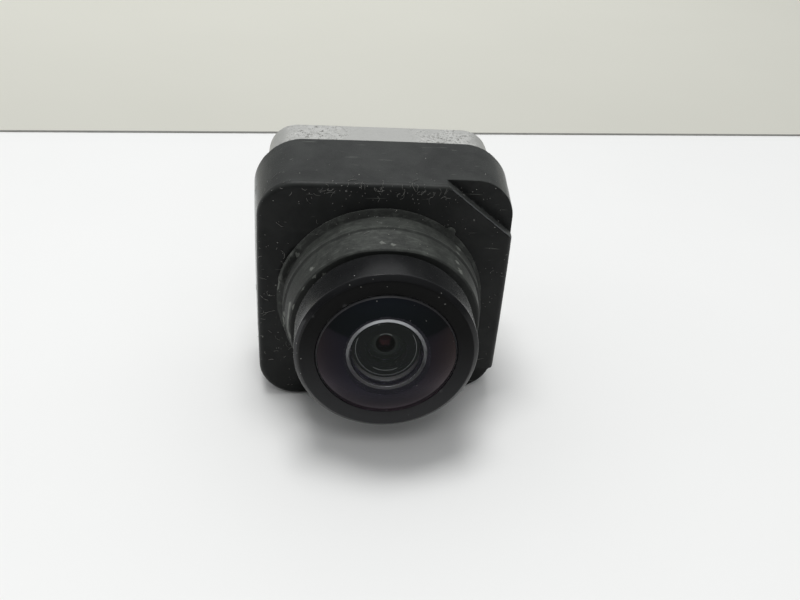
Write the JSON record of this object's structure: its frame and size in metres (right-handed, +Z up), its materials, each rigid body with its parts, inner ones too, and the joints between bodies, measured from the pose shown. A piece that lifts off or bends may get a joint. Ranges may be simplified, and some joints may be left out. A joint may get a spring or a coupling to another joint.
{
  "type": "vehicle camera module",
  "caption": "Compact backup camera: square moulded housing, sealed round lens barrel with fisheye glass, cast aluminium rear cover and keyed cable socket.",
  "frame": {"origin": "where the lens axis meets the plane of the housing's front face", "axes": "+Z up with the module standing on its flat underside, lens looking along -Y, +X to the right of someone facing the lens"},
  "size_m": [0.0254, 0.0373, 0.0247],
  "materials": {
    "housing": "moulded glass-filled nylon, fine grain",
    "rubber_sleeve": "dusty moulded rubber",
    "rubber_inner": "clean moulded rubber",
    "barrel_black": "satin black coat",
    "coated_glass": "polished, anti-reflection coating",
    "lens_glass": "polished, coated",
    "filter_glass": "polished interference filter",
    "bright_ring": "turned, bright",
    "matte_black": "light-absorbing black",
    "silicone": "cured silicone",
    "circuit_board": "solder mask",
    "sensor_package": "moulded package",
    "chip_black": "moulded epoxy",
    "ferrite": "pressed powder",
    "ceramic_part": "fired ceramic",
    "connector_ivory": "moulded",
    "connector_dark": "moulded",
    "connector_black": "moulded, fine grain",
    "thermal_silicone": "soft filled silicone",
    "cast_aluminium": "die cast, with light corrosion",
    "steel": "plain stainless",
    "tinned_brass": "tinned",
    "gold_brass": "gold flashed",
    "membrane": "white porous film"
  },
  "bodies": {
    "root": {"front_housing": "housing", "barrel_seal": "rubber_sleeve", "lens_retainer_cap": "barrel_black", "lens_barrel": "barrel_black", "front_glass": "coated_glass", "front_glass_o_ring": "rubber_inner", "silver_spacer_ring": "bright_ring", "second_lens": "lens_glass", "black_spacer_ring": "matte_black", "third_lens": "lens_glass", "aperture_stop": "matte_black", "fourth_lens": "lens_glass", "fifth_lens": "lens_glass", "rear_spacer_ring": "matte_black", "infrared_filter": "filter_glass", "rear_retainer_ring": "matte_black", "barrel_o_ring": "rubber_inner", "housing_gasket": "silicone", "sensor_board": "circuit_board", "image_sensor": "sensor_package", "sensor_cover_glass": "lens_glass", "board_receptacle": "connector_ivory", "board_plug": "connector_dark", "serializer_board": "circuit_board", "serializer_chip": "chip_black", "regulator_chip": "chip_black", "power_inductor": "ferrite", "crystal": "steel", "capacitors": "ceramic_part", "board_screws": "steel", "thermal_pad": "thermal_silicone", "rear_cover": "cast_aluminium", "cover_screws": "steel", "connector_header": "connector_black", "connector_o_ring": "rubber_inner", "connector_shield": "tinned_brass", "contact_carrier": "connector_ivory", "contact_pins": "gold_brass", "connector_screws": "steel", "vent_membrane": "membrane"}
  },
  "joints": []
}
